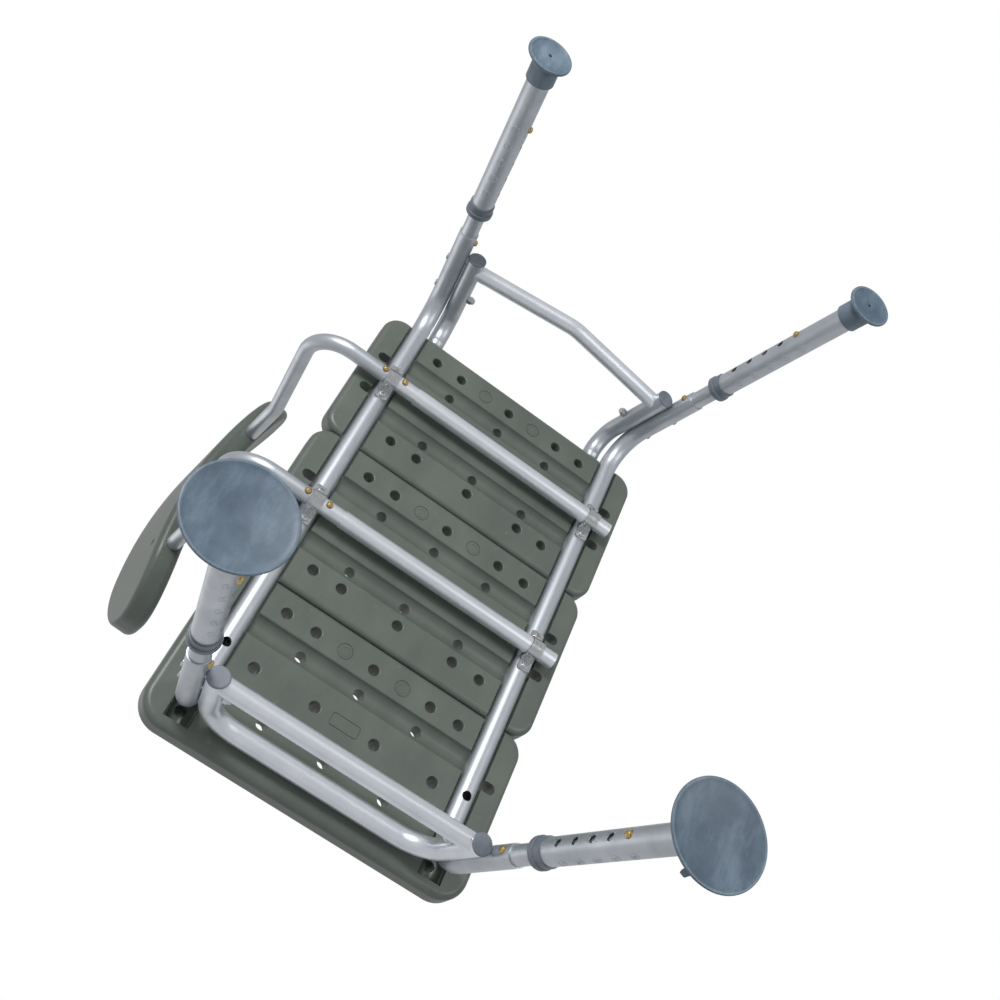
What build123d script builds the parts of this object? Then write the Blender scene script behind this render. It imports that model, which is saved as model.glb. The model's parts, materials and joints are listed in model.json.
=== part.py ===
from build123d import *
import os
from math import cos, radians, sin, tan

# Bath transfer bench, in millimetres. X runs along the bench towards the end that stands in the tub,
# +Y is the backrest side, +Z is up. The origin is on the floor, midway between the outermost points.

# ---- driving dimensions ----
rail_height = 430.0          # centre line of the side rails above the floor
rail_half_spacing = 162.0    # each rail from the bench's centre plane
frame_half_length = 336.6    # frame's middle to where a leg's line meets its rail
splay_out = 9.7              # degrees that each side frame leans outwards
splay_along = 2.2            # degrees that each leg leans towards its end
panel_pitch = 220.0
panel_count = 3
seat_depth = 415.0
seat_thickness = 32.0
rail_sink = 5.0              # the panels' underside lies this far below the rails' centre line
seat_shift = 39.4            # the seat sits this far towards the tub end of the frame
frame_od = 25.4
frame_wall = 1.4
extension_od = 28.6
extension_wall = 1.3
insert_od = 22.2
insert_wall = 1.3
end_tube_od = 24.0
end_tube_wall = 1.2
swaged_od = 19.0             # the outer stubs' drawn-down ends
brace_od = 21.4
cross_od = 21.0
cross_wall = 1.2
sleeve_od = 22.8
connector_od = 18.4
connector_wall = 1.2
hole_pitch = 25.4            # height steps of the legs
height_steps = 5
cup_diameter = 98.0
cup_neck = 32.0
tip_neck = 34.4
tip_height = 35.0
tip_dish = 0.8
tip_diameter = 55.0
backrest_width = 426.0
backrest_height = 190.0
backrest_lean = 6.0

# ---- places worked out from them ----
frame_x = -10.75
mid_y = -18.87
seat_x = frame_x + seat_shift
seat_end_x = seat_x - panel_pitch * panel_count / 2
underside_z = rail_height - rail_sink
seat_top_z = underside_z + seat_thickness
cross_offset = 115.0         # cross member from its panel's outer edge
cross_drop = (frame_od + cross_od) / 2
cross_z = rail_height - cross_drop
bend_radius = 55.0
socket_mouth = 280.0         # the places below are measured along a leg from the floor
collar_low = 227.0
collar_length = 16.5
collar_flange = 7.0
upper_button = 291.0
lower_button = 99.0
collar_od = 31.8
collar_flange_od = 34.4
collar_rounding = 1.0
slip_fit = 0.2               # on the diameter, between parts that slide or push together
extension_low = 12.0
extension_high = 240.0
insert_low = 84.0
insert_high = 316.0
button_diameter = 8.2
button_hole = 9.0
button_stand = 3.4
brace_bolt_heights = {-1: 333.0, 1: 322.0}      # one for each end of the bench
nut_bolt_heights = {-1: 384.0, 1: 352.0}
stub_gap = 0.3               # between a leg's tube and the stub bolted beside it
stub_end_drops = {-1: 123.5, 1: 127.0}  # the stubs' lower ends below the rails' centre line
brace_sag = 24.0             # the outer brace bar's bend below a straight line
cut_margin = 40.0            # how far cutting bodies run past what they cut

os.makedirs("parts", exist_ok=True)


def save(part, name):
    part.label = name
    export_step(part, "parts/" + name + ".step")


def bundle(solids, name):
    save(Compound(children=solids), name)


def ring(outer, inner):
    Circle(outer / 2)
    Circle(inner / 2, mode=Mode.SUBTRACT)


def bent_tube(points, outer, wall, radius):
    """A tube along straight runs joined by bends."""
    with BuildPart() as tube:
        with BuildLine() as route:
            if radius:
                FilletPolyline(*points, radius=radius)
            else:
                Polyline(*points)
        with BuildSketch(Plane(origin=route.line @ 0, z_dir=route.line % 0)):
            ring(outer, outer - 2 * wall)
        sweep()
    return tube.part


def straight_tube(plane, low, high, outer, inner):
    with BuildPart() as tube:
        with BuildSketch(plane.offset(low)):
            ring(outer, inner)
        extrude(amount=high - low)
    return tube.part


def rod(plane, low, high, diameter):
    with BuildPart() as bar:
        with BuildSketch(plane.offset(low)):
            Circle(diameter / 2)
        extrude(amount=high - low)
    return bar.part


def drilled(part, cutters):
    """The part with each cutter's space taken out of it."""
    with BuildPart() as result:
        add(part)
        for cutter in cutters:
            add(cutter, mode=Mode.SUBTRACT)
    return result.part


# ---- legs: each has a plane on the floor whose z runs up the leg and whose x points inboard ----
def side_point(along, down, side):
    """A point of a side frame's own leaning plane, from its rail's middle."""
    lean = radians(splay_out)
    return Vector(
        frame_x + along,
        mid_y + side * (rail_half_spacing + down * sin(lean)),
        rail_height - down * cos(lean),
    )


floor_down = rail_height / cos(radians(splay_out))
floor_along = frame_half_length + floor_down * tan(radians(splay_along))
leg_names = ("outer_back", "outer_front", "tub_back", "tub_front")
leg_ends = {"outer_back": -1, "outer_front": -1, "tub_back": 1, "tub_front": 1}
leg_sides = {"outer_back": 1, "outer_front": -1, "tub_back": 1, "tub_front": -1}
tab_angles = {"tub_back": 200.0, "tub_front": 20.0}     # where each cup's release tab points, from +X
leg_planes = {}
for leg in leg_names:
    foot = side_point(leg_ends[leg] * floor_along, floor_down, leg_sides[leg])
    corner = side_point(leg_ends[leg] * frame_half_length, 0, leg_sides[leg])
    leg_planes[leg] = Plane(origin=foot, x_dir=(0, -leg_sides[leg], 0), z_dir=corner - foot)
leg_length = (corner - foot).length


def across_leg(leg, height, start=0.0):
    """A plane at a height on a leg whose z points inboard across it."""
    plane = leg_planes[leg]
    origin = plane.origin + plane.z_dir * height + plane.x_dir * start
    return Plane(origin=origin, x_dir=plane.z_dir, z_dir=plane.x_dir)


# ---- snap buttons and their hairpin springs ----
def snap_button(plane, surface):
    """A domed button; plane's z points out of the tube, from the tube's axis."""
    with BuildPart() as button:
        with BuildSketch(plane.offset(surface - 7.0)):
            Circle(button_diameter / 2)
        extrude(amount=7.0 + button_stand)
        fillet(button.faces().sort_by(Axis(plane.origin, plane.z_dir))[-1].edges(), button_stand - 0.1)
    return button.part


def hairpin_spring(plane, surface, bore):
    """A leaf bent like a hairpin, pressing the button out; plane as for the button."""
    leaf = 0.7
    arm = 14.0
    back = surface - 7.0 - leaf / 2
    far = -bore / 2 + 1.6
    with BuildPart() as spring:
        with BuildSketch(Plane(origin=plane.origin, x_dir=plane.z_dir, z_dir=plane.y_dir)):
            with BuildLine() as bend:
                top = Line((back, -5), (back, arm))
                turn = JernArc(top @ 1, top % 1, -(far - back) / 2, 180)
                Line(turn @ 1, (far, -5))
            trace(line_width=leaf)
        extrude(amount=3.5, both=True)
    return spring.part


def button_cut(plane):
    return rod(plane, 0, cut_margin / 2, button_hole)


def make_legs():
    springs = []
    for leg in leg_names:
        plane = leg_planes[leg]
        upper = across_leg(leg, upper_button)
        lower = across_leg(leg, lower_button)
        insert = straight_tube(plane, insert_low, insert_high, insert_od, insert_od - 2 * insert_wall)
        save(drilled(insert, [button_cut(upper), button_cut(lower)]), "leg_insert_" + leg)
        steps = [button_cut(across_leg(leg, lower_button + n * hole_pitch)) for n in range(height_steps)]
        sleeve_bore = extension_od - 2 * extension_wall
        extension = straight_tube(plane, extension_low, extension_high, extension_od, sleeve_bore)
        save(drilled(extension, steps), "leg_extension_" + leg)
        save(leg_collar(plane), "leg_collar_" + leg)
        if leg in tab_angles:
            save(suction_cup(plane, tab_angles[leg]), "suction_cup_" + leg)
        else:
            save(rubber_tip(plane), "rubber_tip_" + leg)
        save(snap_button(upper, frame_od / 2), "socket_button_" + leg)
        save(snap_button(lower, extension_od / 2), "height_button_" + leg)
        bore = insert_od - 2 * insert_wall
        springs.append(hairpin_spring(upper, frame_od / 2, bore))
        springs.append(hairpin_spring(lower, extension_od / 2, bore))
    return springs


def leg_collar(plane):
    with BuildPart() as collar:
        shelf = extension_high + slip_fit - collar_low
        with BuildSketch(plane.offset(collar_low)):
            ring(collar_od, extension_od + slip_fit)
        extrude(amount=shelf)
        with BuildSketch(plane.offset(collar_low + shelf)):
            ring(collar_od, insert_od + 3 * slip_fit)
        extrude(amount=collar_length - shelf)
        with BuildSketch(plane.offset(collar_low + collar_length - collar_flange)):
            ring(collar_flange_od, extension_od + slip_fit)
        extrude(amount=collar_flange)
        rims = collar.edges().filter_by(GeomType.CIRCLE).sort_by(lambda e: e.radius)
        fillet(rims[-2:], collar_rounding)
    return collar.part


def leg_space(plane):
    return rod(plane, extension_low, 80, extension_od + 0.1)


def suction_cup(plane, tab_angle):
    """A wide shallow cup lying flat on the floor, with a neck up the leg and a release tab."""
    rim = cup_diameter / 2
    centre = plane.origin
    with BuildPart() as cup:
        with BuildSketch(Plane(origin=centre, x_dir=(1, 0, 0), z_dir=(0, -1, 0))):
            with BuildLine():
                Polyline((rim, 0), (rim, 2.4))
                Spline((rim, 2.4), (rim * 0.7, 6.5), (cup_neck / 2 + 1, 14), tangents=((-1, 0.1), (-1, 1)))
                Polyline((cup_neck / 2 + 1, 14), (0, 14), (0, 5))
                Spline((0, 5), (rim * 0.6, 3.6), (rim - 2, 0), tangents=((1, 0), (1, -0.3)))
                Line((rim - 2, 0), (rim, 0))
            make_face()
        revolve(axis=Axis(centre, (0, 0, 1)))
        add(rod(plane, 9, 24, cup_neck))
        turn = radians(tab_angle)
        outward = Vector(cos(turn), sin(turn), 0)
        with BuildSketch(Plane(origin=centre, x_dir=outward, z_dir=outward.cross(Vector(0, 0, 1)))):
            with BuildLine():
                Polyline((rim - 12, 3), (rim - 4, 3), (rim - 1, 12), (rim - 2.5, 15), (rim - 6, 13), close=True)
            make_face()
        extrude(amount=4.0, both=True)
        with BuildSketch(Plane.XY):
            with Locations((centre.X, centre.Y)):
                Rectangle(cup_diameter * 2, cup_diameter * 2)
        extrude(amount=-cut_margin, mode=Mode.SUBTRACT)
        add(leg_space(plane), mode=Mode.SUBTRACT)
    return cup.part


def rubber_tip(plane):
    """A flared rubber tip lying flat on the floor, its base slightly dished and with a hole in its middle."""
    base = tip_diameter / 2
    neck = tip_neck / 2
    centre = plane.origin
    with BuildPart() as tip:
        with BuildSketch(Plane(origin=centre, x_dir=(1, 0, 0), z_dir=(0, -1, 0))):
            with BuildLine():
                Polyline((2, 4), (2, tip_dish), (base - 4, tip_dish), (base - 3, 0), (base - 1, 0), (base, 1), (base, 3.4))
                Spline((base, 3.4), (neck + 2.2, 9.5), (neck, 18), tangents=((-1, 0.25), (0, 1)))
                Polyline((neck, 18), (0, 18), (0, 4), (2, 4))
            make_face()
        revolve(axis=Axis(centre, (0, 0, 1)))
        add(rod(plane, 14, tip_height, tip_neck))
        with BuildSketch(Plane.XY):
            with Locations((centre.X, centre.Y)):
                Rectangle(tip_diameter * 2, tip_diameter * 2)
        extrude(amount=-cut_margin, mode=Mode.SUBTRACT)
        add(leg_space(plane), mode=Mode.SUBTRACT)
    return tip.part


# ---- side frames ----
panel_starts = [seat_end_x + n * panel_pitch for n in range(panel_count)]
cross_places = [panel_starts[0] + cross_offset, panel_starts[1] + cross_offset]
saddle_screw_reach = 22.5
rail_screw_x = panel_starts[2] + 102.5
access_hole = 12.0
rail_screw_head = 8.4
screw_hole = 4.8
bolt_hole = 6.6
bolt_od = 6.0
side_names = {1: "back", -1: "front"}


def rail_y(side):
    return mid_y + side * rail_half_spacing


def screw_places(side):
    """Where screws go up through a rail."""
    reaches = (-saddle_screw_reach, saddle_screw_reach)
    places = [(x + reach, rail_y(side)) for x in cross_places for reach in reaches]
    return places + [(rail_screw_x, rail_y(side))]


def bolt_heights(leg):
    return (brace_bolt_heights[leg_ends[leg]], nut_bolt_heights[leg_ends[leg]])


def vertical_at(x, y, low, high, diameter):
    return rod(Plane(origin=(x, y, 0), z_dir=(0, 0, 1)), low, high, diameter)


def side_frame(side):
    reach = leg_length - socket_mouth
    ends = {end: side_point(end * frame_half_length, 0, side) for end in (-1, 1)}
    mouths = {}
    for leg in leg_names:
        if leg_sides[leg] == side:
            mouths[leg_ends[leg]] = ends[leg_ends[leg]] - leg_planes[leg].z_dir * reach
    tube = bent_tube([mouths[-1], ends[-1], ends[1], mouths[1]], frame_od, frame_wall, bend_radius)
    cutters = []
    for leg in leg_names:
        if leg_sides[leg] == side:
            cutters.append(button_cut(across_leg(leg, upper_button)))
            for height in bolt_heights(leg):
                cutters.append(rod(across_leg(leg, height), -cut_margin / 2, cut_margin / 2, bolt_hole))
    for x, y in screw_places(side):
        cutters.append(vertical_at(x, y, rail_height - frame_od, rail_height + frame_od, screw_hole))
    # the rail screw's head sits inside the tube, behind a wider hole in its lower wall
    cutters.append(vertical_at(rail_screw_x, rail_y(side), rail_height - frame_od, rail_height, access_hole))
    return drilled(tube, cutters)


# ---- end frames and their bolts ----
stub_offset = (frame_od + end_tube_od) / 2 + stub_gap


def stub_line(leg, height):
    """A point of a stub's centre line beside a height on its leg."""
    plane = leg_planes[leg]
    return plane.origin + plane.z_dir * height + plane.x_dir * stub_offset


def stub_at(leg, z):
    """The point of a stub's centre line that is at a height above the floor."""
    plane = leg_planes[leg]
    return stub_line(leg, (z - plane.x_dir.Z * stub_offset) / plane.z_dir.Z)


def stub_plane(leg):
    plane = leg_planes[leg]
    return Plane(origin=stub_line(leg, 0), x_dir=plane.x_dir, z_dir=plane.z_dir)


def stub_bolt_holes(leg):
    return [rod(across_leg(leg, h), -cut_margin / 2, cut_margin * 1.4, bolt_hole) for h in bolt_heights(leg)]


def end_frame_tub():
    """A tube bent like a staple: a stub down beside each leg and a run across under the seat."""
    low = rail_height - stub_end_drops[1]
    level = underside_z - 1.0 - end_tube_od / 2
    back, front = "tub_back", "tub_front"
    route = [stub_at(back, low), stub_at(back, level), stub_at(front, level), stub_at(front, low)]
    tube = bent_tube(route, end_tube_od, end_tube_wall, 48.0)
    return drilled(tube, stub_bolt_holes(back) + stub_bolt_holes(front))


outer_socket_z = rail_height + 11.0
outer_socket_depth = 26.0
swage_start = 8.0            # the full-size tube stops this far outside the panel


def outer_stub(leg):
    """A short tube beside an outer leg; it bends under the seat and is drawn down to enter the end panel."""
    top = stub_at(leg, outer_socket_z)
    neck = Vector(seat_end_x - swage_start, top.Y, top.Z)
    low = stub_at(leg, rail_height - stub_end_drops[-1])
    tube = bent_tube([low, top, neck], end_tube_od, end_tube_wall, 38.0)
    taper = 5.0
    with BuildPart() as end:
        with BuildSketch(Plane(origin=neck, x_dir=(1, 0, 0), z_dir=(0, -1, 0))):
            with BuildLine():
                Polyline(
                    (0, end_tube_od / 2),
                    (taper, swaged_od / 2),
                    (swage_start + outer_socket_depth - 2, swaged_od / 2),
                    (swage_start + outer_socket_depth - 2, swaged_od / 2 - end_tube_wall),
                    (taper, swaged_od / 2 - end_tube_wall),
                    (0, end_tube_od / 2 - end_tube_wall),
                    close=True,
                )
            make_face()
        revolve(axis=Axis(neck, (1, 0, 0)))
    with BuildPart() as whole:
        add(tube)
        add(end.part)
    return drilled(whole.part, stub_bolt_holes(leg))


def stub_plug(leg):
    """A round-headed plug closing a stub's lower end."""
    stub = stub_plane(leg)
    low = (stub_at(leg, rail_height - stub_end_drops[leg_ends[leg]]) - stub.origin).length
    with BuildPart() as plug:
        with BuildSketch(stub.offset(low - 2.4)):
            Circle(end_tube_od / 2 + 0.3)
        extrude(amount=2.3)
        fillet(plug.faces().sort_by(Axis(stub.origin, stub.z_dir))[0].edges(), 1.6)
        with BuildSketch(stub.offset(low - 0.1)):
            Circle(end_tube_od / 2 - end_tube_wall - 0.1)
        extrude(amount=5)
    return plug.part


def brace_bar(end):
    """A bar between the two stubs of one end, with coped ends; the outer one dips in its middle."""
    back, front = [leg for leg in leg_names if leg_ends[leg] == end]
    start = stub_line(back, brace_bolt_heights[end])
    stop = stub_line(front, brace_bolt_heights[end])
    if end < 0:
        middle = (start + stop) * 0.5 - Vector(0, 0, brace_sag)
        bar = bent_tube([start, middle, stop], brace_od, end_tube_wall, 60.0)
    else:
        bar = bent_tube([start, stop], brace_od, end_tube_wall, 0)
    return drilled(bar, brace_copes(back) + brace_copes(front))


def brace_copes(leg):
    """What a stub takes out of a brace bar's end."""
    plane = leg_planes[leg]
    height = brace_bolt_heights[leg_ends[leg]]
    behind = Plane(origin=stub_line(leg, height), x_dir=plane.z_dir, z_dir=-plane.x_dir)
    return [
        rod(stub_plane(leg), height - 60, height + 60, end_tube_od + 0.1),
        rod(behind, 0, cut_margin, 2 * brace_od),
    ]


def brace_insert(leg):
    """A threaded block inside a brace bar's end, which takes the bolt from the leg."""
    height = brace_bolt_heights[leg_ends[leg]]
    opposite = [other for other in leg_names if leg_ends[other] == leg_ends[leg] and other != leg][0]
    start = stub_line(leg, height)
    goal = stub_line(opposite, height)
    if leg_ends[leg] < 0:
        goal = (start + goal) * 0.5 - Vector(0, 0, brace_sag)
    along = Plane(origin=start, z_dir=goal - start)
    block = rod(along, end_tube_od / 2 + 4, end_tube_od / 2 + 16, brace_od - 2 * end_tube_wall - 0.1)
    return drilled(block, [rod(across_leg(leg, height), 0, 2 * cut_margin, bolt_od + 0.1)])


def frame_bolt(leg, height):
    """A low round-headed bolt through a leg and its stub."""
    across = across_leg(leg, height)
    head = -frame_od / 2
    reach = 6.0 if height in nut_bolt_heights.values() else 10.0
    with BuildPart() as bolt:
        with BuildSketch(across.offset(head)):
            Circle(4.2)
        extrude(amount=-1.8)
        fillet(bolt.faces().sort_by(Axis(across.origin, across.z_dir))[0].edges(), 1.2)
        with BuildSketch(across.offset(head)):
            Circle(bolt_od / 2)
        extrude(amount=frame_od / 2 + stub_offset + end_tube_od / 2 + reach)
    return bolt.part


def acorn_nut(leg, height):
    across = across_leg(leg, height, stub_offset + end_tube_od / 2 + 0.1)
    with BuildPart() as nut:
        with BuildSketch(across):
            RegularPolygon(5.7, 6, major_radius=True)
        extrude(amount=5.0)
        with BuildSketch(across.offset(5.0)):
            Circle(4.6)
        extrude(amount=4.4)
        fillet(nut.faces().sort_by(Axis(across.origin, across.z_dir))[-1].edges(), 4.0)
        with BuildSketch(across.offset(-1)):
            Circle(bolt_od / 2 + 0.05)
        extrude(amount=7.2, mode=Mode.SUBTRACT)
    return nut.part


# ---- cross members, saddles and screws ----
tube_end_front = rail_half_spacing + 28.5
sleeve_back = 124.0
sleeve_front = 153.0
saddle_half_width = 8.5
inner_button_y = 146.0
post_button_y = 176.5
post_start_y = rail_half_spacing + saddle_half_width + 0.3
connector_low = 118.0
connector_high = 218.0


def along_y(x, z):
    """A plane on the bench's centre plane whose z points to the backrest side."""
    return Plane(origin=(x, mid_y, z), x_dir=(1, 0, 0), z_dir=(0, 1, 0))


def button_plane(x, y):
    return Plane(origin=(x, mid_y + y, cross_z), x_dir=(0, 1, 0), z_dir=(0, 0, -1))


def cross_member(number, x):
    axis = along_y(x, cross_z)
    tube_end_back = rail_half_spacing + saddle_half_width
    tube = straight_tube(axis, -tube_end_front, tube_end_back, cross_od, cross_od - 2 * cross_wall)
    save(drilled(tube, [button_cut(button_plane(x, inner_button_y))]), "cross_tube_" + number)
    save(straight_tube(axis, -sleeve_front, sleeve_back, sleeve_od, cross_od + 0.1), "cross_sleeve_" + number)
    inner = straight_tube(axis, connector_low, connector_high, connector_od, connector_od - 2 * connector_wall)
    cuts = [button_cut(button_plane(x, y)) for y in (inner_button_y, post_button_y)]
    save(drilled(inner, cuts), "post_connector_" + number)
    save(snap_button(button_plane(x, inner_button_y), cross_od / 2), "cross_button_" + number)
    save(snap_button(button_plane(x, post_button_y), cross_od / 2), "post_button_" + number)
    bore = connector_od - 2 * connector_wall
    return [hairpin_spring(button_plane(x, inner_button_y), cross_od / 2, bore),
            hairpin_spring(button_plane(x, post_button_y), cross_od / 2, bore)]


def saddle(x, side):
    """A strap over the cross tube with a flat foot along the rail each side of it."""
    gauge = 2.2
    foot_z = rail_height - frame_od / 2 - 0.1
    half = cross_od / 2 + 0.2
    with BuildPart() as strap:
        start = (x, rail_y(side) + saddle_half_width, 0)
        with BuildSketch(Plane(origin=start, x_dir=(1, 0, 0), z_dir=(0, -1, 0))):
            with Locations((0, cross_z)):
                Circle(half + gauge)
            with Locations((0, (cross_z + foot_z) / 2)):
                Rectangle(2 * (half + gauge), foot_z - cross_z)
            with Locations((0, foot_z + cut_margin / 2)):
                Rectangle(cut_margin, cut_margin, mode=Mode.SUBTRACT)
            with Locations((0, foot_z - gauge / 2)):
                Rectangle(2 * saddle_screw_reach + 13, gauge)
            with Locations((0, cross_z)):
                Circle(half, mode=Mode.SUBTRACT)
            with Locations((0, (cross_z + foot_z + 1) / 2)):
                Rectangle(2 * half, foot_z - cross_z + 1, mode=Mode.SUBTRACT)
        extrude(amount=2 * saddle_half_width)
        sides = [e for e in strap.edges().filter_by(Axis.Z) if abs(e.center().X - x) > saddle_screw_reach]
        fillet(sides, 2.5)
        with BuildSketch(Plane.XY.offset(foot_z - 10)):
            with Locations((x - saddle_screw_reach, rail_y(side)), (x + saddle_screw_reach, rail_y(side))):
                Circle(2.5)
        extrude(amount=20, mode=Mode.SUBTRACT)
    return strap.part


def pan_screw(x, y, seat_z, head, tip_z):
    """A pan-head screw with a cross recess, driven upwards."""
    with BuildPart() as screw:
        with BuildSketch(Plane(origin=(x, y, seat_z), z_dir=(0, 0, -1))):
            Circle(head / 2)
        extrude(amount=2.8)
        fillet(screw.faces().sort_by(Axis.Z)[0].edges(), 1.6)
        with BuildSketch(Plane(origin=(x, y, seat_z - 2.8), z_dir=(0, 0, 1))):
            Rectangle(4.6, 1.1)
            Rectangle(1.1, 4.6)
        extrude(amount=1.6, mode=Mode.SUBTRACT)
        with BuildSketch(Plane(origin=(x, y, seat_z), z_dir=(0, 0, 1))):
            Circle(2.1)
        extrude(amount=tip_z - seat_z)
    return screw.part


# ---- seat panels ----
panel_gap = 1.0
panel_wall = 3.5
panel_edge_radius = 8.0
channel_places = (62.0, 154.0)
channel_width = 28.0
channel_depth = 11.0
row_places = (30.0, 184.0)
last_row_place = 108.0
drain_hole = 13.6
drain_pitch = 40.0
slot_places = (77.0, 135.0)
slot_inset = 24.0
slot_length = 19.0
slot_width = 13.5
rail_pocket_wall = 14.0      # what is left of the tub end's rim beyond the rail grooves
pocket_cup_inset = 19.0      # a blind cup in the tub end's groove, from the groove's end
screw_tip_z = underside_z + 26.0
mark_radius = 10.0
mark_depth = 0.8
rim_radius = 1.6
trough_edge_radius = 2.5


def panel_slab(number, inset):
    """A panel's outer block, or the block inside it that lies inset below every face."""
    last = number == panel_count - 1
    low = panel_starts[number] + panel_gap / 2
    high = panel_starts[number] + panel_pitch - panel_gap / 2
    end_corner = 34.0 if last else 26.0
    with BuildPart() as slab:
        with BuildSketch(Plane.XY.offset(underside_z + inset)) as plan:
            with Locations(((low + high) / 2, mid_y)):
                Rectangle(high - low - 2 * inset, seat_depth - 2 * inset)
            fillet(plan.vertices().group_by(Axis.X)[0], 26.0 - inset)
            fillet(plan.vertices().group_by(Axis.X)[-1], end_corner - inset)
        extrude(amount=seat_thickness - 2 * inset)
        fillet(slab.faces().sort_by(Axis.Z)[-1].edges(), panel_edge_radius - inset)
        fillet(slab.faces().sort_by(Axis.Z)[0].edges(), panel_edge_radius - inset)
    return slab.part


def drain_holes(number):
    """The centres of a panel's round holes."""
    start = panel_starts[number]
    steps = range(-3, 4)
    holes = [(start + row_places[0], mid_y + n * drain_pitch) for n in steps if abs(n) != 1]
    if number == panel_count - 1:
        holes += [(start + last_row_place, mid_y + n * drain_pitch) for n in (-3, -1, 1, 3)]
    else:
        holes += [(start + row_places[1], mid_y + n * drain_pitch) for n in steps if abs(n) != 1]
    for place in channel_places:
        holes += [(start + place, mid_y + n * drain_pitch) for n in (-2, 0, 2)]
    return holes


def panel_spaces(number, grow):
    """The grooves and holes of a panel, each made larger all round by grow."""
    start = panel_starts[number]
    last = number == panel_count - 1
    groove_end = start + panel_pitch - rail_pocket_wall if last else start + panel_pitch + 1
    groove = frame_od / 2 + 0.1 + grow
    with BuildPart() as spaces:
        for side in (1, -1):
            groove_start = Plane(origin=(start - 1, rail_y(side), rail_height), x_dir=(0, 1, 0), z_dir=(1, 0, 0))
            with BuildSketch(groove_start):
                Circle(groove)
                with Locations((0, -10)):
                    Rectangle(2 * groove + 5, 20)
            extrude(amount=groove_end - start + 1 + grow)
        # the round-bottomed troughs: a shallow arc as wide as the trough
        trough_radius = (channel_width ** 2 / 4 + channel_depth ** 2) / (2 * channel_depth)
        reach = rail_half_spacing - 8.0 + grow
        for place in channel_places:
            trough_end = (start + place, mid_y + reach, underside_z)
            with BuildSketch(Plane(origin=trough_end, x_dir=(1, 0, 0), z_dir=(0, -1, 0))):
                with Locations((0, channel_depth - trough_radius)):
                    Circle(trough_radius + grow)
            extrude(amount=2 * reach)
        with BuildSketch(Plane.XY.offset(underside_z - cut_margin)):
            with Locations(*drain_holes(number)):
                Circle(drain_hole / 2 + grow)
        extrude(amount=seat_thickness + 2 * cut_margin)
        if last:
            with BuildSketch(Plane.XY.offset(underside_z)):
                with Locations(*[(groove_end - pocket_cup_inset, rail_y(side)) for side in (1, -1)]):
                    Circle(drain_hole / 2 + grow)
            extrude(amount=seat_thickness - panel_wall + grow)
        slot_columns = slot_places[:1] if last else slot_places
        slot_y = seat_depth / 2 - slot_inset
        slots = [(start + x, mid_y + side * slot_y) for x in slot_columns for side in (1, -1)]
        with BuildSketch(Plane.XY.offset(underside_z - cut_margin)):
            with Locations(*slots):
                SlotOverall(slot_length + 2 * grow, slot_width + 2 * grow, rotation=90)
        extrude(amount=seat_thickness + 2 * cut_margin)
        with BuildSketch(Plane.XY.offset(underside_z - cut_margin)):
            with Locations(*[place for side in (1, -1) for place in screw_places(side)]):
                Circle(2.2 + grow)
        extrude(amount=cut_margin + screw_tip_z + 1 - underside_z + grow)
        if last:
            with BuildSketch(Plane.XY.offset(underside_z)):
                with Locations((start + last_row_place, mid_y)):
                    RectangleRounded(17 + 2 * grow, 38 + 2 * grow, 4 + grow)
                    RectangleRounded(14, 35, 3, mode=Mode.SUBTRACT if grow == 0 else Mode.ADD)
            extrude(amount=mark_depth + grow)
        with BuildSketch(Plane.XY.offset(underside_z)):
            with Locations(*[(start + row_places[0], mid_y + n * drain_pitch) for n in (-1, 1)]):
                Circle(mark_radius + grow)
                Circle(mark_radius - 1.2, mode=Mode.SUBTRACT if grow == 0 else Mode.ADD)
        extrude(amount=mark_depth + grow)
        if number == 0:
            for leg in ("outer_back", "outer_front"):
                y = stub_at(leg, outer_socket_z).Y
                with BuildSketch(Plane(origin=(start - 1, y, outer_socket_z), x_dir=(0, 1, 0), z_dir=(1, 0, 0))):
                    Circle(swaged_od / 2 + 0.3 + grow)
                extrude(amount=outer_socket_depth + 1 + grow)
    return spaces.part


def soften_rims(panel):
    """Rounds the troughs' edges and the holes' rims, as a blow-moulding has them."""
    rims = []
    for height in (underside_z, seat_top_z):
        circles = panel.edges().filter_by(GeomType.CIRCLE)
        circles = circles.filter_by_position(Axis.Z, height - 0.01, height + 0.01)
        rims += [edge for edge in circles if abs(edge.radius - drain_hole / 2) < 0.01]
    fillet(rims, rim_radius)
    low = panel.edges().filter_by(GeomType.LINE)
    low = low.filter_by_position(Axis.Z, underside_z - 0.01, underside_z + 0.01)
    sides = [edge for edge in low.filter_by(Axis.Y) if edge.length > rail_half_spacing]
    fillet(sides, trough_edge_radius)


def seat_panel(number):
    """One blow-moulded panel: a closed shell with rail grooves, two troughs and drain holes."""
    with BuildPart() as hollow:
        add(panel_slab(number, panel_wall))
        add(panel_spaces(number, panel_wall), mode=Mode.SUBTRACT)
    with BuildPart() as panel:
        add(panel_slab(number, 0))
        add(panel_spaces(number, 0), mode=Mode.SUBTRACT)
        soften_rims(panel)
        add(hollow.part, mode=Mode.SUBTRACT)
    return panel.part


# ---- backrest ----
post_reach = 277.0           # from the centre plane to where the post turns up
post_knee_y = 262.5          # it leans forward a little to here, then back
post_knee_z = rail_height + 178.0
backrest_low = rail_height + 262.0
backrest_x = (cross_places[0] + cross_places[1]) / 2 - 7.0
backrest_radius = 616.0
backrest_front = 15.0
backrest_rear = 21.0
backrest_corner = 88.0
backrest_wall = 4.5
backrest_rounding = 9.6


def post_direction():
    lean = radians(backrest_lean)
    return Vector(0, sin(lean), cos(lean))


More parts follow.
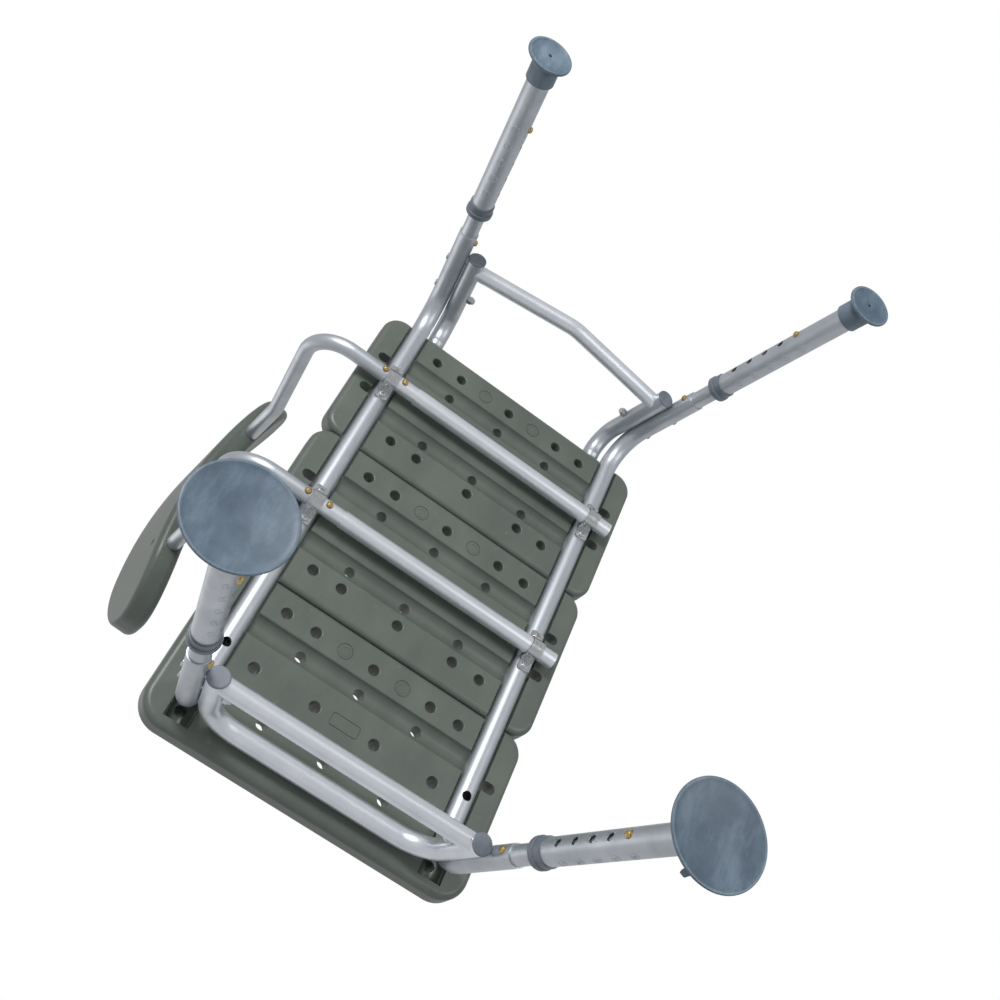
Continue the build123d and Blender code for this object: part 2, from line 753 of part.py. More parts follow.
def post_route(x):
    """Out from the cross member, up behind the seat, then leaning back inside the backrest."""
    knee = Vector(x, mid_y + post_knee_y, post_knee_z)
    top = knee + post_direction() * (backrest_low - post_knee_z + 130)
    return [
        Vector(x, mid_y + post_start_y, cross_z),
        Vector(x, mid_y + post_reach, cross_z),
        knee,
        top,
    ]


def back_post(x):
    tube = bent_tube(post_route(x), cross_od, cross_wall, 50.0)
    screw_bore = rod(backrest_screw_line(x), 0, cut_margin, 4.2)
    return drilled(tube, [button_cut(button_plane(x, post_button_y)), screw_bore])


def post_plane(x):
    """A plane on the post's leaning run, level with the backrest's lower edge; z points up the post."""
    knee = Vector(x, mid_y + post_knee_y, post_knee_z)
    origin = knee + post_direction() * ((backrest_low - post_knee_z) / post_direction().Z)
    return Plane(origin=origin, x_dir=(1, 0, 0), z_dir=post_direction())


def backrest_block(inset):
    """The backrest's curved block, or the block inside it that lies inset below every face."""
    plane = post_plane(backrest_x)
    sagitta = backrest_radius - (backrest_radius ** 2 - (cross_places[1] - backrest_x) ** 2) ** 0.5
    with BuildPart() as block:
        with BuildSketch(plane):
            with Locations((0, sagitta - backrest_radius)):
                Circle(backrest_radius + backrest_rear - inset)
                Circle(backrest_radius - backrest_front + inset, mode=Mode.SUBTRACT)
            Rectangle(backrest_width, 200, mode=Mode.INTERSECT)
        extrude(amount=backrest_height)
        with BuildSketch(Plane(origin=plane.origin, x_dir=(1, 0, 0), z_dir=-plane.y_dir)):
            with Locations((0, backrest_height / 2)):
                width = backrest_width - 2 * inset
                RectangleRounded(width, backrest_height - 2 * inset, backrest_corner - inset)
        extrude(amount=backrest_height, both=True, mode=Mode.INTERSECT)
        if inset == 0:
            for rank in (-2, -1):
                curved = block.faces().filter_by(GeomType.CYLINDER).sort_by(SortBy.AREA)
                fillet(curved[rank].edges(), backrest_rounding)
    return block.part


def backrest_screw_line(x):
    """A plane across a post where the backrest's screw goes in, z pointing to the rear."""
    plane = post_plane(x)
    return Plane(origin=plane.origin + plane.z_dir * 34, x_dir=(1, 0, 0), z_dir=plane.y_dir)


def backrest_spaces(grow):
    """The sockets for the posts and screws, each made larger all round by grow."""
    with BuildPart() as spaces:
        for x in cross_places:
            add(rod(post_plane(x), -30, 140 + grow, cross_od + 0.4 + 2 * grow))
            add(rod(backrest_screw_line(x), 0, cut_margin, 4.6 + 2 * grow))
            add(rod(backrest_screw_line(x), 17.0 - grow, cut_margin, 10.0 + 2 * grow))
    return spaces.part


def backrest_shell():
    """A blow-moulded panel curved around the sitter's back, closed and hollow."""
    with BuildPart() as hollow:
        add(backrest_block(backrest_wall))
        add(backrest_spaces(backrest_wall), mode=Mode.SUBTRACT)
    with BuildPart() as shell:
        add(backrest_block(0))
        add(backrest_spaces(0), mode=Mode.SUBTRACT)
        add(hollow.part, mode=Mode.SUBTRACT)
    return shell.part


def backrest_screw(x):
    axis = backrest_screw_line(x)
    with BuildPart() as screw:
        with BuildSketch(axis.offset(cross_od / 2 - 3)):
            Circle(1.6)
        extrude(amount=17.0 - cross_od / 2 + 3)
        with BuildSketch(axis.offset(17.0)):
            Circle(4.4)
        extrude(amount=2.6)
        fillet(screw.faces().sort_by(Axis(axis.origin, axis.z_dir))[-1].edges(), 1.4)
    return screw.part


# ---- the whole bench ----
springs = make_legs()
for side in (1, -1):
    save(side_frame(side), "side_frame_" + side_names[side])
save(end_frame_tub(), "end_frame_tub")
for leg in ("outer_back", "outer_front"):
    save(outer_stub(leg), "end_stub_" + leg)
save(brace_bar(1), "brace_bar_tub")
save(brace_bar(-1), "brace_bar_outer")
bundle([stub_plug(leg) for leg in leg_names], "stub_plugs")
bundle([frame_bolt(leg, height) for leg in leg_names for height in bolt_heights(leg)], "frame_bolts")
bundle([acorn_nut(leg, nut_bolt_heights[leg_ends[leg]]) for leg in leg_names], "acorn_nuts")
bundle([brace_insert(leg) for leg in leg_names], "brace_inserts")
for number, x in zip(("1", "2"), cross_places):
    springs += cross_member(number, x)
    save(back_post(x), "back_post_" + number)
bundle(springs, "button_springs")
bundle([saddle(x, side) for x in cross_places for side in (1, -1)], "saddle_brackets")
saddle_screws = []
strap_face_z = rail_height - frame_od / 2 - 2.4
for side in (1, -1):
    for x, y in screw_places(side)[:-1]:
        saddle_screws.append(pan_screw(x, y, strap_face_z, 9.0, screw_tip_z))
bundle(saddle_screws, "saddle_screws")
# a flat head inside the round tube seats a little below the top of its bore
rail_bore = frame_od / 2 - frame_wall
head_seat_z = rail_height + (rail_bore ** 2 - (rail_screw_head / 2) ** 2) ** 0.5 - 0.1
rail_screws = [pan_screw(rail_screw_x, rail_y(s), head_seat_z, rail_screw_head, screw_tip_z) for s in (1, -1)]
bundle(rail_screws, "rail_screws")
for number, name in enumerate(("outer", "middle", "tub")):
    save(seat_panel(number), "seat_panel_" + name)
save(backrest_shell(), "backrest")
bundle([backrest_screw(x) for x in cross_places], "backrest_screws")
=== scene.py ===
import json
from math import cos, pi, radians, sin

import bmesh
import bpy
from mathutils import Matrix, Vector


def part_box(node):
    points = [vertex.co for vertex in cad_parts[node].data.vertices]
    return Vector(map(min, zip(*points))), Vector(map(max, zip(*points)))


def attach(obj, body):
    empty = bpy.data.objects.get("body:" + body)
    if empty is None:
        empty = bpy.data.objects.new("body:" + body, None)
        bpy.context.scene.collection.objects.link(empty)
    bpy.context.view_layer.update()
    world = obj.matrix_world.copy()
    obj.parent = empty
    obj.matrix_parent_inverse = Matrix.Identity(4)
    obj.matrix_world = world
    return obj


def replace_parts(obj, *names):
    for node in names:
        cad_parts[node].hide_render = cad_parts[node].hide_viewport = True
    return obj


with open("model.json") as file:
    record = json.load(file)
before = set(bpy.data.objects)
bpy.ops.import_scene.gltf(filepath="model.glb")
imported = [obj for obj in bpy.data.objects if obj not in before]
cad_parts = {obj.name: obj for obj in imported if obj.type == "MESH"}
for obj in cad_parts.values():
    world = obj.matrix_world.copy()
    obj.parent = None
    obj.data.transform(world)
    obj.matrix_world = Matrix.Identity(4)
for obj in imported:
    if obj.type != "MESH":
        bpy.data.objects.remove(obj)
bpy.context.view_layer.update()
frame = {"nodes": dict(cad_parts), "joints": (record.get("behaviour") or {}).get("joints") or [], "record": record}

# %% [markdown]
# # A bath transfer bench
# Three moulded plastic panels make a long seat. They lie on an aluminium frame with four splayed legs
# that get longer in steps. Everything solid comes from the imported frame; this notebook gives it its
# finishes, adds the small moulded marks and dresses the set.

nodes = frame["nodes"]

# %% [markdown]
# ## A small language for finishes
# A finish is a few sums on noise. Written node by node it is hard to read, so a Value wraps one socket
# and lets Python's own operators add the Math nodes. Everything else goes through Finish.add().


# %% Sums on sockets
class Value:
    def __init__(self, finish, socket):
        self.finish = finish
        self.socket = socket

    def math(self, operation, other):
        return self.finish.add("ShaderNodeMath", {"operation": operation}, {0: self, 1: other})

    def __add__(self, other):
        return self.math("ADD", other)

    def __mul__(self, other):
        return self.math("MULTIPLY", other)

    __radd__ = __add__
    __rmul__ = __mul__

    def spread(self, low, high, to_low=0.0, to_high=1.0):
        """The value with low..high carried onto to_low..to_high, and held at the ends."""
        inputs = {0: self, 1: low, 2: high, 3: to_low, 4: to_high}
        return self.finish.add("ShaderNodeMapRange", {"clamp": True}, inputs)


class Finish:
    """One material: a Principled shader and the nodes that feed it."""

    def __init__(self, name):
        self.material = bpy.data.materials.new(name)
        self.material.use_nodes = True
        self.tree = self.material.node_tree
        self.shader = self.tree.nodes["Principled BSDF"]
        self.place = self.add("ShaderNodeTexCoord", {}, {}, "Object")

    def add(self, kind, settings, inputs, output=0):
        node = self.tree.nodes.new(kind)
        for name, setting in settings.items():
            setattr(node, name, setting)
        for name, value in inputs.items():
            self.feed(node.inputs[name], value)
        return Value(self, node.outputs[output])

    def feed(self, socket, value):
        if isinstance(value, Value):
            self.tree.links.new(value.socket, socket)
        else:
            socket.default_value = value

    def stretch(self, scale):
        return self.add("ShaderNodeMapping", {}, {"Vector": self.place, "Scale": scale})

    def noise(self, scale, detail=3.0, roughness=0.5, place=None):
        """A fractal noise between 0 and 1, with about scale lumps to the metre."""
        inputs = {"Vector": place or self.place, "Scale": scale, "Detail": detail, "Roughness": roughness}
        return self.add("ShaderNodeTexNoise", {}, inputs, "Fac")

    def mix(self, share, first, second):
        settings = {"data_type": "RGBA", "clamp_factor": True}
        return self.add("ShaderNodeMix", settings, {"Factor": share, "A": first, "B": second}, "Result")

    def bump(self, height, strength, distance):
        inputs = {"Height": height, "Strength": strength, "Distance": distance}
        return self.add("ShaderNodeBump", {}, inputs)

    def set(self, **sockets):
        """Feeds the shader's sockets by name and hands back the finished material."""
        for name, value in sockets.items():
            self.feed(self.shader.inputs[name.replace("_", " ")], value)
        return self.material


def colour(red, green, blue):
    """A surface colour given as the usual 0-255 screen values."""
    return tuple(((part / 255 + 0.055) / 1.055) ** 2.4 for part in (red, green, blue)) + (1.0,)


# %% [markdown]
# ## Satin aluminium
# The tubes are drawn, blasted and clear anodised. Blasting leaves fine pits that scatter light into a
# wide soft highlight, and handling leaves cloudy patches where the surface is a little smoother. One
# noise drives the pits' bump and two slow ones the clouds; all read Object coordinates, so every tube
# carries the same size of grain. The cross tubes, brace bar, end frame and saddle get a paler tone and more gloss.

# %% Satin aluminium
def make_aluminium(name, dark, light, smooth, rough, pitting):
    finish = Finish(name)
    pits = finish.noise(1300.0, 2.0)
    clouds = finish.noise(26.0, 5.0, 0.6)
    scuffs = finish.noise(70.0, 6.0, 0.7)
    share = clouds.spread(0.3, 0.7)
    worn = scuffs.spread(0.60, 0.70)
    return finish.set(
        Base_Color=finish.mix(worn * 0.3, finish.mix(share, dark, light), light),
        Metallic=0.88,
        Roughness=share.spread(0.0, 1.0, rough, smooth) + worn * 0.04,
        Normal=finish.bump(pits, pitting, 0.0001),
    )


satin_dark, satin_light = colour(184, 189, 195), colour(204, 208, 214)
satin_tube = make_aluminium("satin aluminium tube", satin_dark, satin_light, 0.36, 0.44, 0.05)
bright_dark, bright_light = colour(222, 226, 234), colour(240, 243, 248)
bright_tube = make_aluminium("bright aluminium tube", bright_dark, bright_light, 0.30, 0.36, 0.01)

# %% [markdown]
# ## Seat plastic
# The panels are blow-moulded. The tool is sandblasted, so the skin has a fine leathery grain, and the
# plastic cools unevenly, which shows as faint clouds and streaks along the panel and slightly paler,
# rubbed specks. The grain is a cell pattern for the leather with a finer noise on top.

# %% Seat plastic
def make_plastic():
    finish = Finish("grey-green seat plastic")
    settings = {"feature": "SMOOTH_F1"}
    inputs = {"Vector": finish.place, "Scale": 800.0, "Smoothness": 0.6}
    cells = finish.add("ShaderNodeTexVoronoi", settings, inputs, "Distance")
    fine = finish.noise(1500.0, 2.0)
    clouds = finish.noise(11.0, 5.0, 0.6)
    streaks = finish.noise(5.0, 4.0, 0.7, finish.stretch((1.0, 6.0, 1.0)))
    share = clouds.spread(0.3, 0.7) * 0.65 + streaks.spread(0.35, 0.65) * 0.35
    rub = finish.noise(60.0, 5.0, 0.75).spread(0.62, 0.72)
    tint = finish.mix(share, colour(80, 87, 81), colour(94, 101, 94))
    return finish.set(
        Base_Color=finish.mix(rub * 0.35, tint, colour(120, 127, 120)),
        Roughness=share.spread(0.0, 1.0, 0.34, 0.44) + rub * 0.08,
        Normal=finish.bump(cells * 0.7 + fine * 0.3, 0.14, 0.0003),
    )


seat_plastic = make_plastic()

# %% [markdown]
# ## Rubber and collar plastic
# The feet are a blue-grey rubber with a dry bloom on it, paler where it has been wiped and darker where
# it is damp. The collars and plugs are a nylon of nearly the same colour, a little smoother.

# %% Rubber and collar plastic
def make_blue_grey(name, dark, light, bloom, rough, grain_depth):
    finish = Finish(name)
    clouds = finish.noise(22.0, 6.0, 0.65)
    smears = finish.noise(12.0, 7.0, 0.72, finish.stretch((1.0, 3.2, 1.0)))
    damp = finish.noise(17.0, 4.0, 0.6, finish.stretch((2.2, 1.0, 1.0)))
    grain = finish.noise(1000.0, 3.0)
    tint = finish.mix(clouds.spread(0.35, 0.65), dark, light)
    tint = finish.mix(smears.spread(0.48, 0.68) * 0.55, tint, bloom)
    tint = finish.mix(damp.spread(0.56, 0.70) * 0.45, tint, dark)
    return finish.set(
        Base_Color=tint,
        Roughness=clouds.spread(0.3, 0.7, rough, rough + 0.12),
        Normal=finish.bump(grain, grain_depth, 0.0003),
    )


rubber_dark, rubber_light, rubber_bloom = colour(84, 98, 111), colour(104, 119, 132), colour(134, 148, 160)
rubber = make_blue_grey("blue-grey rubber", rubber_dark, rubber_light, rubber_bloom, 0.42, 0.16)
nylon_dark, nylon_light, nylon_bloom = colour(92, 99, 109), colour(108, 116, 126), colour(128, 136, 146)
collar_plastic = make_blue_grey("blue-grey nylon", nylon_dark, nylon_light, nylon_bloom, 0.34, 0.1)

# %% [markdown]
# ## Brass, zinc and spring steel
# Small turned parts. Their tooling marks are too fine to see, so each is a slightly uneven mirror whose
# roughness wanders and whose colour is a little deeper where the roughness is higher.

# %% Small metals
def make_small_metal(name, dark, light, low, high):
    finish = Finish(name)
    wander = finish.noise(320.0, 4.0, 0.6)
    return finish.set(
        Base_Color=finish.mix(wander.spread(0.3, 0.7), dark, light),
        Metallic=1.0,
        Roughness=wander.spread(0.3, 0.7, low, high),
        Normal=finish.bump(wander, 0.06, 0.0003),
    )


brass = make_small_metal("yellow brass", colour(196, 160, 92), colour(226, 196, 132), 0.12, 0.22)
zinc = make_small_metal("bright zinc steel", colour(196, 198, 200), colour(222, 223, 224), 0.14, 0.26)
spring = make_small_metal("blued spring steel", colour(120, 124, 132), colour(150, 153, 160), 0.28, 0.4)

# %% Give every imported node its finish
finishes = {
    "satin_aluminium": satin_tube,
    "seat_plastic": seat_plastic,
    "grey_rubber": rubber,
    "blue_grey_plastic": collar_plastic,
    "brass_buttons": brass,
    "spring_steel": spring,
    "bright_steel": zinc,
}
bright_nodes = ("cross_", "brace_bar", "end_frame", "saddle")
slot_of = {part["node"]: part["material_slot"] for part in frame["record"]["subparts"]}
for name, node in nodes.items():
    finish = finishes[slot_of[name]]
    if finish is satin_tube and name.startswith(bright_nodes):
        finish = bright_tube
    node.data.materials.clear()
    node.data.materials.append(finish)
print("finishes given to", len(nodes), "nodes")

# %% [markdown]
# ## Where the legs are
# Each leg slides along its own line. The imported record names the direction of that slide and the
# node's box gives a point on it, so the marks and feet are placed without repeating any number.

# %% Leg lines
leg_names = ("outer_back", "outer_front", "tub_back", "tub_front")
slides = {joint["name"]: joint for joint in frame["joints"]}


def box_middle(node):
    low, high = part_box(node)
    return (Vector(low) + Vector(high)) / 2


def leg_line(leg):
    """The foot of a leg's centre line on the floor, the way up it and the way inboard across it."""
    up = -Vector(slides["leg_length_" + leg]["axis"]).normalized()
    middle = box_middle("leg_extension_" + leg)
    foot = middle - up * (middle.z / up.z)
    inboard = box_middle("height_button_" + leg) - foot
    inboard = (inboard - up * inboard.dot(up)).normalized()
    return foot, up, inboard


for leg in leg_names:
    print(leg, "stands at", [round(part, 4) for part in leg_line(leg)[0]])


# %% [markdown]
# ## Turning a bmesh into a piece
# Every piece ends the same way: doubles merged, normals outwards, smooth faces with the sharp edges
# kept, a finish, and a body to ride on.

# %% Finishing a piece
def make_piece(shape, name, finish, body, sharp=35.0):
    bmesh.ops.remove_doubles(shape, verts=shape.verts, dist=1e-6)
    bmesh.ops.recalc_face_normals(shape, faces=shape.faces)
    for face in shape.faces:
        face.smooth = True
    for edge in shape.edges:
        if len(edge.link_faces) == 2 and edge.calc_face_angle() > radians(sharp):
            edge.smooth = False
    mesh = bpy.data.meshes.new(name)
    shape.to_mesh(mesh)
    shape.free()
    piece = bpy.data.objects.new(name, mesh)
    piece.data.materials.append(finish)
    bpy.context.scene.collection.objects.link(piece)
    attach(piece, body)
    print(name, "has", len(mesh.polygons), "faces")
    return piece


def turned(profile, steps):
    """An outline of (radius, height) points spun about Z; points on the axis become poles."""
    shape = bmesh.new()
    points = [shape.verts.new((radius, 0, height)) for radius, height in profile]
    edges = [shape.edges.new(pair) for pair in zip(points, points[1:])]
    z = (0, 0, 1)
    bmesh.ops.spin(shape, geom=points + edges, axis=z, angle=2 * pi, steps=steps, use_merge=True)
    return shape


def bowed(start, stop, bow, count):
    """Points from start to stop, pushed aside by bow halfway."""
    points = []
    for n in range(count + 1):
        t = n / count
        push = 4 * t * (1 - t)
        points.append(tuple(a + (b - a) * t + c * push for a, b, c in zip(start, stop, bow)))
    return points


# %% [markdown]
# ## Feet
# The two outer legs stand on flared rubber tips and the two tub legs on wide suction cups. Both are
# turned shapes, but their bases lie flat on the floor while their sockets lean with the leg. Each is
# spun upright and then bent: the higher a ring is, the more it turns towards the leg's own line.

# %% Bending a turned foot along its leg
extension_grip = 0.0144      # radius of a foot's socket, just inside the leg tube's own surface
socket_floor = 0.0125        # height of the socket's closed end
rim_margin = 0.0001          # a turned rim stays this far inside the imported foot's edge


def lean_with_leg(shape, leg, low, high):
    """Turns the rings between the heights low and high step by step into the leg's lean."""
    foot, up, inboard = leg_line(leg)
    hinge = Vector((0, 0, 1)).cross(up)
    tilt = hinge.length
    for vert in shape.verts:
        share = min(max((vert.co.z - low) / (high - low), 0.0), 1.0)
        share = share * share * (3 - 2 * share)
        vert.co = Matrix.Rotation(tilt * share, 3, hinge.normalized()) @ vert.co + foot


def flat_radius(node):
    """The radius of a round foot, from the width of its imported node."""
    low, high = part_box(node)
    return (high[0] - low[0]) / 2


# %% [markdown]
# The tip's base is dished by less than a millimetre inside a thin flat ring, and has a small blind hole
# in its middle where the moulding was fed. Above a three millimetre rim it sweeps up into the sleeve.

# %% Rubber tips
def rubber_tip(leg):
    rim = flat_radius("rubber_tip_" + leg) - rim_margin
    sleeve = 0.0171
    profile = [(0.0, 0.0040), (0.0018, 0.0040), (0.0020, 0.0010), (0.0026, 0.0006)]
    profile += bowed((0.006, 0.0005), (rim - 0.0052, 0.0008), (0.0, 0.0006), 8)
    profile += [(rim - 0.0044, 0.0006), (rim - 0.0038, 0.0001), (rim - 0.0030, 0.0)]
    profile += [(rim - 0.0009, 0.0), (rim - 0.0002, 0.0003), (rim, 0.0010), (rim, 0.0026)]
    profile += [(rim - 0.0003, 0.0033), (rim - 0.0011, 0.0037)]
    profile += bowed((rim - 0.002, 0.0040), (sleeve, 0.0165), (-0.0028, -0.0020), 12)
    profile += [(sleeve, 0.0250), (sleeve, 0.0335), (sleeve - 0.0003, 0.0343), (sleeve - 0.0010, 0.0346)]
    profile += [(0.0148, 0.0346), (extension_grip, 0.0340)]
    profile += [(extension_grip, socket_floor), (0.0, socket_floor)]
    shape = turned(profile, 72)
    lean_with_leg(shape, leg, 0.005, 0.018)
    return make_piece(shape, "rubber_tip_" + leg + "_turned", rubber, "leg_" + leg, 50.0)


for leg in leg_names[:2]:
    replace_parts(rubber_tip(leg), "rubber_tip_" + leg)


# %% [markdown]
# The cup is a shallow bell. Its rim is thin enough to bend and lies flat; the inside is a smooth bowl.
# A little tab on the rim breaks the suction when it is pushed up. The tab is a tapered block with its
# edges rounded, joined on as part of the same moulding.

# %% Suction cups
tab_directions = {"tub_back": Vector((-0.94, -0.34)), "tub_front": Vector((0.94, 0.34))}
tab_thickness = 0.0042
tab_inset = 0.0052
tab_foot_height = 0.0028
tab_top_height = 0.0142
tab_foot_width = 0.0080
tab_top_width = 0.0062


def release_tab(shape, leg, rim):
    """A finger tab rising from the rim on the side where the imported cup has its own."""
    foot = leg_line(leg)[0]
    tab = bmesh.ops.create_cube(shape, size=1.0)["verts"]
    for vert in tab:
        top = vert.co.z > 0
        vert.co.x = vert.co.x * tab_thickness + (0.0012 if top else -0.0010)
        vert.co.y *= tab_top_width if top else tab_foot_width
        vert.co.z = tab_top_height if top else tab_foot_height
    turn = Matrix.Rotation(tab_directions[leg].angle_signed(Vector((1, 0))), 3, "Z")
    for vert in tab:
        vert.co = turn @ (vert.co + Vector((rim - tab_inset, 0, 0))) + foot
    edges = {edge for vert in tab for edge in vert.link_edges}
    rounding = {"offset": 0.0010, "segments": 3, "profile": 0.5, "material": -1}
    bmesh.ops.bevel(shape, geom=list(edges), affect="EDGES", **rounding)


def suction_cup(leg):
    rim = flat_radius("suction_cup_" + leg) - rim_margin
    neck = 0.0159
    profile = bowed((0.0, 0.0046), (rim - 0.0045, 0.0008), (0.0, 0.0009), 14)
    profile += [(rim - 0.0034, 0.0003), (rim - 0.0024, 0.0), (rim - 0.0008, 0.0), (rim - 0.0002, 0.0003)]
    profile += [(rim, 0.0009), (rim, 0.0018), (rim - 0.0003, 0.0024), (rim - 0.0010, 0.0028)]
    profile += bowed((rim - 0.002, 0.0031), (neck + 0.0012, 0.0138), (-0.0025, -0.0024), 14)
    profile += [(neck + 0.0002, 0.0160), (neck, 0.0175), (neck, 0.0224), (neck - 0.0003, 0.0231)]
    profile += [(neck - 0.0008, 0.0234), (0.0148, 0.0234), (extension_grip, 0.0229)]
    profile += [(extension_grip, socket_floor), (0.0, socket_floor)]
    shape = turned(profile, 96)
    lean_with_leg(shape, leg, 0.006, 0.019)
    release_tab(shape, leg, rim)
    return make_piece(shape, "suction_cup_" + leg + "_turned", rubber, "leg_" + leg, 50.0)


for leg in leg_names[2:]:
    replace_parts(suction_cup(leg), "suction_cup_" + leg)

# %% [markdown]
# ## Height marks
# Beside the five holes each leg carries five small raised rings, each round a number from 1 at the top to
# 5 at the bottom. They are pressed into the tube, so they are thin and have the tube's own finish. A
# ring is turned flat; a number is set as text and made into a mesh. Both are then wrapped round the tube.

# %% Height marks
tube_radius = 0.0286 / 2
mark_pitch = 0.0254
lowest_mark = 0.099          # up the leg from the floor
mark_count = 5
ring_radius = 0.0046
wire_radius = 0.00045        # how far a ring stands proud of the tube
digit_height = 0.0062
# degrees round each leg from its row of holes
mark_turns = {"outer_back": 90.0, "outer_front": -90.0, "tub_back": 50.0, "tub_front": -90.0}


def add_ring(shape):
    """A flat ring of round section in the XY plane."""
    before = set(shape.verts)
    section = bmesh.ops.create_circle(shape, segments=6, radius=wire_radius)["verts"]
    stand = Matrix.Rotation(pi / 2, 4, "X")
    bmesh.ops.transform(shape, matrix=Matrix.Translation((ring_radius, 0, 0)) @ stand, verts=section)
    edges = list({edge for vert in section for edge in vert.link_edges})
    bmesh.ops.spin(shape, geom=section + edges, axis=(0, 0, 1), angle=2 * pi, steps=28, use_merge=True)
    return [vert for vert in shape.verts if vert not in before]


def add_digit(shape, digit):
    """A raised digit in the XY plane, centred."""
    words = bpy.data.curves.new("digit", "FONT")
    words.body = str(digit)
    words.size = digit_height
    words.align_x = "CENTER"
    words.align_y = "CENTER"
    words.extrude = wire_radius * 0.7
    carrier = bpy.data.objects.new("digit", words)
    bpy.context.scene.collection.objects.link(carrier)
    bpy.context.view_layer.update()
    flat = bpy.data.meshes.new_from_object(carrier)
    before = set(shape.verts)
    shape.from_mesh(flat)
    bpy.data.objects.remove(carrier)
    bpy.data.curves.remove(words)
    bpy.data.meshes.remove(flat)
    return [vert for vert in shape.verts if vert not in before]


def height_marks(leg):
    foot, up, inboard = leg_line(leg)
    turn = Matrix.Rotation(radians(mark_turns[leg]), 3, up)
    outward = turn @ inboard
    across = up.cross(outward)
    shape = bmesh.new()
    for n in range(mark_count):
        placed = add_ring(shape) + add_digit(shape, mark_count - n)
        middle = foot + up * (lowest_mark + n * mark_pitch)
        for vert in placed:
            angle = vert.co.x / tube_radius
            radius = tube_radius + vert.co.z
            vert.co = middle + up * vert.co.y + (outward * cos(angle) + across * sin(angle)) * radius
    return make_piece(shape, "height_marks_" + leg, satin_tube, "leg_" + leg)


for leg in leg_names:
    height_marks(leg)


# %% [markdown]
# ## Emblem rings
# Each panel has two round moulding marks on its underside. The engraved ring belongs to the packed
# panel; inside it a second fine ring and a small boss stand up, as on an ordinary date clock. Both are
# short outlines turned about the mark's middle, and carry no writing.

# %% Emblem rings
row_offset = 0.0295          # from a panel's outer edge to its row of marks
ring_spread = 0.040          # from the bench's centre plane to each mark
boss_outline = [(0.0, -0.0003), (0.0014, -0.0003), (0.0018, 0.0001)]
ring_outline = [(0.0052, 0.0001), (0.0055, -0.0004), (0.0062, -0.0004), (0.0065, 0.0001)]


def moulding_marks(panel):
    low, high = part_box(panel)
    shape = bmesh.new()
    middle_y = (low[1] + high[1]) / 2
    for side in (-1, 1):
        for ring in (turned(boss_outline, 24), turned(ring_outline, 48)):
            place = Vector((low[0] + row_offset, middle_y + side * ring_spread, low[2]))
            bmesh.ops.translate(ring, vec=place, verts=ring.verts)
            flat = bpy.data.meshes.new("mark")
            ring.to_mesh(flat)
            ring.free()
            shape.from_mesh(flat)
            bpy.data.meshes.remove(flat)
    return make_piece(shape, panel + "_marks", seat_plastic, "bench_frame")


for panel in ("seat_panel_outer", "seat_panel_middle", "seat_panel_tub"):
    moulding_marks(panel)


# %% [markdown]
# ## The set
# The bench is seen from below its own floor, so the floor has to let light and the eye through from
# underneath and still catch the bench's contact shadow from above.

# %% Floor
floor_half_width = 6.0


def make_floor():
    """A matt floor that can be seen through from below."""
    finish = Finish("pale floor")
    soft = finish.noise(2.0, 2.0)
    finish.set(Base_Color=finish.mix(soft, (0.86, 0.86, 0.86, 1), (0.9, 0.9, 0.9, 1)), Roughness=0.8)
    clear = finish.tree.nodes.new("ShaderNodeBsdfTransparent")
    from_below = finish.add("ShaderNodeNewGeometry", {}, {}, "Backfacing")
    mix = finish.tree.nodes.new("ShaderNodeMixShader")
    finish.tree.links.new(from_below.socket, mix.inputs[0])
    finish.tree.links.new(finish.shader.outputs[0], mix.inputs[1])
    finish.tree.links.new(clear.outputs[0], mix.inputs[2])
    finish.tree.links.new(mix.outputs[0], finish.tree.nodes["Material Output"].inputs["Surface"])
    shape = bmesh.new()
    bmesh.ops.create_grid(shape, x_segments=2, y_segments=2, size=floor_half_width)
    mesh = bpy.data.meshes.new("floor")
    shape.to_mesh(mesh)
    shape.free()
    floor = bpy.data.objects.new("floor", mesh)
    floor.data.materials.append(finish.material)
    floor.visible_shadow = False
    bpy.context.scene.collection.objects.link(floor)
    return floor


make_floor()

# %% [markdown]
# ## Light
# A white sweep all round, dimmer in what the metal reflects than in what the eye sees, with three soft
# boxes that give each tube one long highlight.

# %% Light
backdrop_colour = (1, 1, 1, 1)
sky_low = (0.42, 0.43, 0.45, 1)
sky_high = (0.62, 0.62, 0.62, 1)


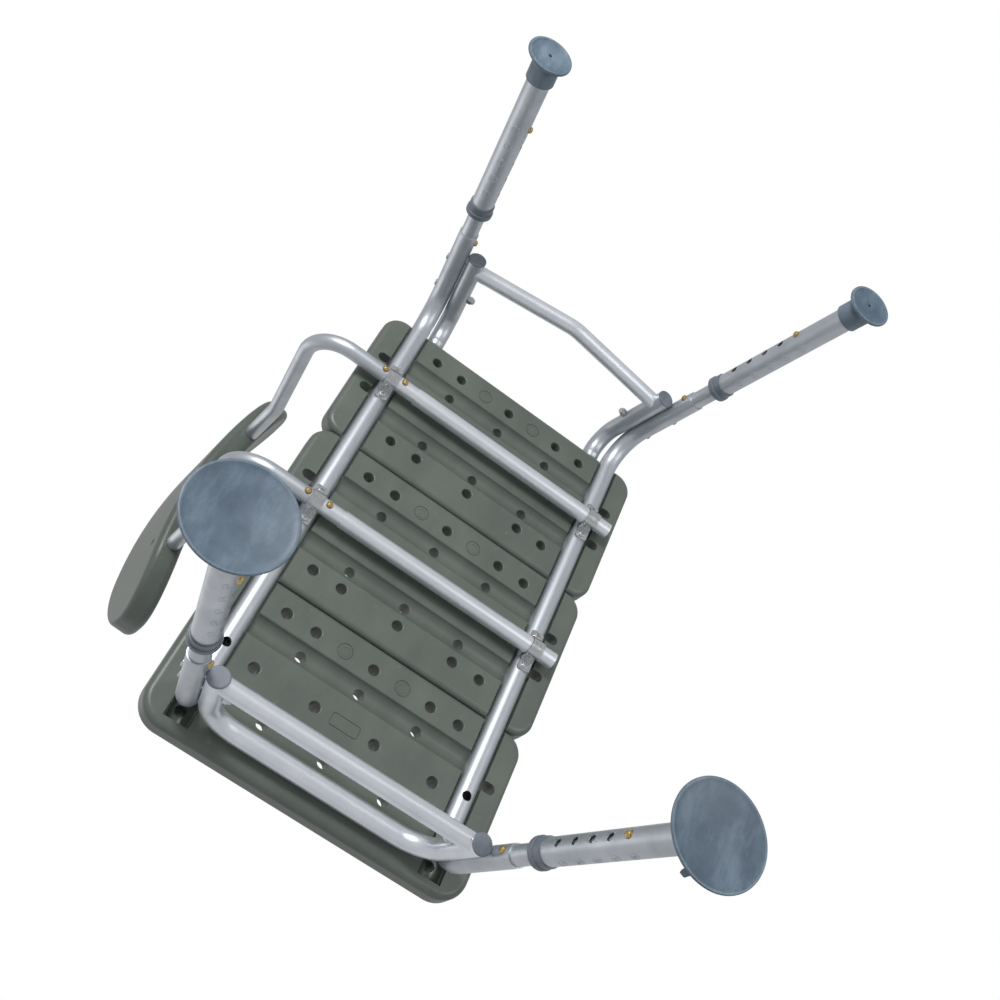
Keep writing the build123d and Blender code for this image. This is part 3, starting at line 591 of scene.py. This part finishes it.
def make_world():
    """White to the eye; to the bench a sky that is greyer below than above."""
    world = bpy.data.worlds.new("studio")
    world.use_nodes = True
    tree = world.node_tree
    seen = tree.nodes["Background"]
    seen.inputs["Color"].default_value = backdrop_colour
    lighting = tree.nodes.new("ShaderNodeBackground")
    direction = tree.nodes.new("ShaderNodeTexCoord")
    height = tree.nodes.new("ShaderNodeSeparateXYZ")
    ramp = tree.nodes.new("ShaderNodeValToRGB")
    ramp.color_ramp.elements[0].color = sky_low
    ramp.color_ramp.elements[1].color = sky_high
    ray = tree.nodes.new("ShaderNodeLightPath")
    choice = tree.nodes.new("ShaderNodeMixShader")
    tree.links.new(direction.outputs["Generated"], height.inputs[0])
    tree.links.new(height.outputs["Z"], ramp.inputs["Fac"])
    tree.links.new(ramp.outputs["Color"], lighting.inputs["Color"])
    tree.links.new(ray.outputs["Is Camera Ray"], choice.inputs[0])
    tree.links.new(lighting.outputs[0], choice.inputs[1])
    tree.links.new(seen.outputs[0], choice.inputs[2])
    tree.links.new(choice.outputs[0], tree.nodes["World Output"].inputs["Surface"])
    return world


bpy.context.scene.world = make_world()
bpy.context.scene.view_settings.view_transform = "Standard"

# the camera stands low at the tub end and looks up; its own right, down and forward directions
eye = Vector((0.8145, 0.2379, -0.8114))
right = Vector((-0.3679, -0.8082, -0.4599))
down = Vector((0.7109, -0.5633, 0.4211))
ahead = Vector((-0.5994, -0.1721, 0.7818))
middle = Vector((0.0, 0.0, 0.3))


def softbox(name, direction, distance, size, watts):
    """A round lamp looking at the bench's middle from that direction."""
    lamp = bpy.data.lights.new(name, "AREA")
    lamp.shape = "DISK"
    lamp.size = size
    lamp.energy = watts
    box = bpy.data.objects.new(name, lamp)
    place = middle + direction.normalized() * distance
    facing = (place - middle).to_track_quat("Z", "Y").to_matrix().to_4x4()
    box.matrix_world = Matrix.Translation(place) @ facing
    box.visible_camera = False
    bpy.context.scene.collection.objects.link(box)


softbox("key", -down * 0.9 - ahead * 0.7, 2.2, 0.7, 36.0)
softbox("fill", right * 0.9 - ahead * 0.6, 2.4, 0.9, 14.0)
softbox("top", Vector((0.2, 0.9, 0.9)), 2.4, 1.6, 5.0)

# %% [markdown]
# ## Camera
# The bench is shown from under its tub end, with the feet towards the eye and the seat beyond them.

# %% Camera
lens = bpy.data.cameras.new("camera")
lens.sensor_width = 36.0
lens.lens = 43.608
lens.shift_x = 0.0189
lens.shift_y = -0.0084
lens.clip_start = 0.01
camera = bpy.data.objects.new("camera", lens)
turn = Matrix((right, -down, -ahead)).transposed().to_4x4()
camera.matrix_world = Matrix.Translation(eye) @ turn
bpy.context.scene.collection.objects.link(camera)
bpy.context.scene.camera = camera
